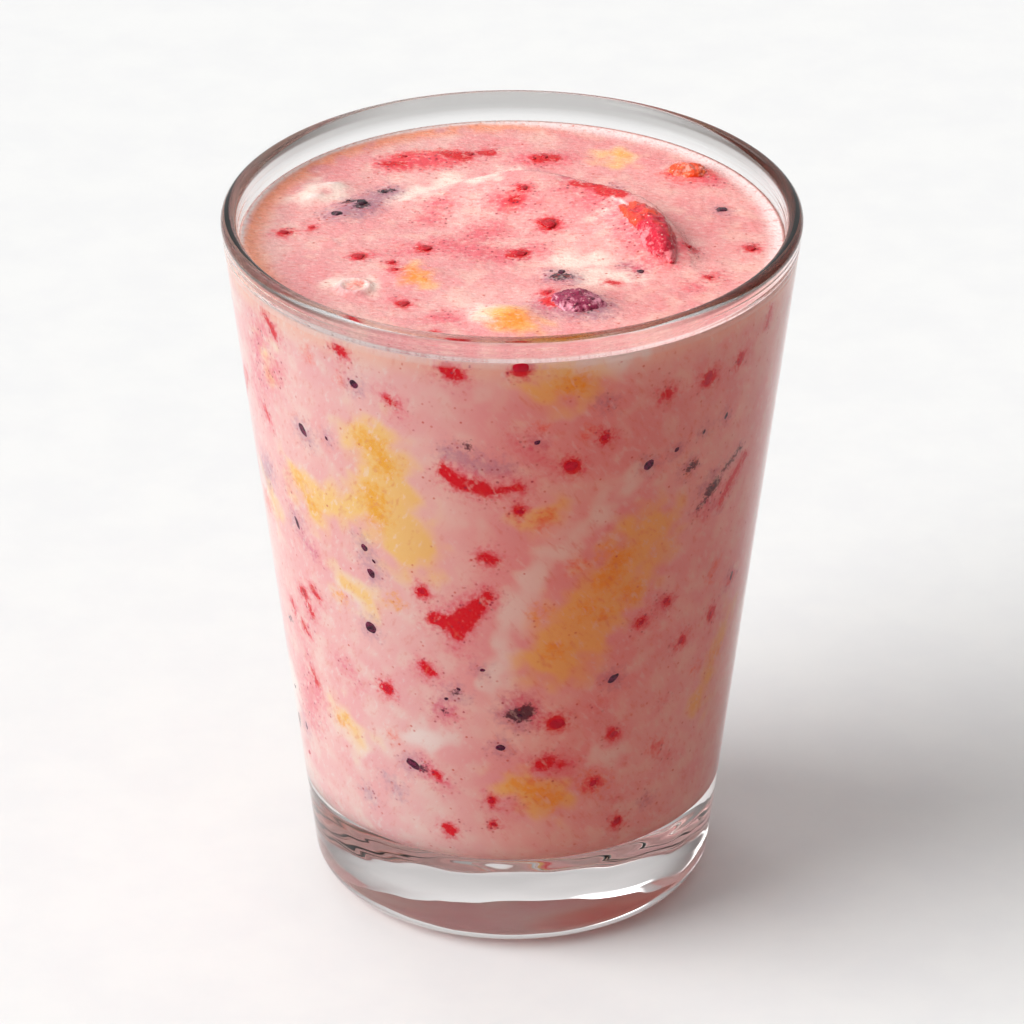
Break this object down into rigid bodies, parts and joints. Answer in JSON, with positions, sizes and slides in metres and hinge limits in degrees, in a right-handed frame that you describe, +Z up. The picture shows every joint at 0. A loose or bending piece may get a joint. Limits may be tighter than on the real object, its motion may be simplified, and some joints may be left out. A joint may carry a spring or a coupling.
{
  "type": "berry smoothie in a glass",
  "caption": "Clear tapered tumbler with a thick base, filled almost to the rim with a pink fruit smoothie whose top folds over pieces of strawberry and blueberry",
  "frame": {"origin": "middle of the glass's foot, on the surface it stands on", "axes": "+Z up along the glass's axis, -Y towards the viewer of the picture, +X to the viewer's right"},
  "size_m": [0.0878, 0.0878, 0.1115],
  "materials": {
    "clear_glass": "pressed and fire polished clear soda-lime glass",
    "smoothie": "wet blended fruit and yoghurt, soft shine",
    "strawberry": "wet cut strawberry flesh",
    "blueberry": "wet torn blueberry skin"
  },
  "bodies": {
    "root": {"glass": "clear_glass", "smoothie": "smoothie", "strawberry_piece": "strawberry", "strawberry_chip": "strawberry", "blueberry_piece": "blueberry"}
  },
  "joints": []
}
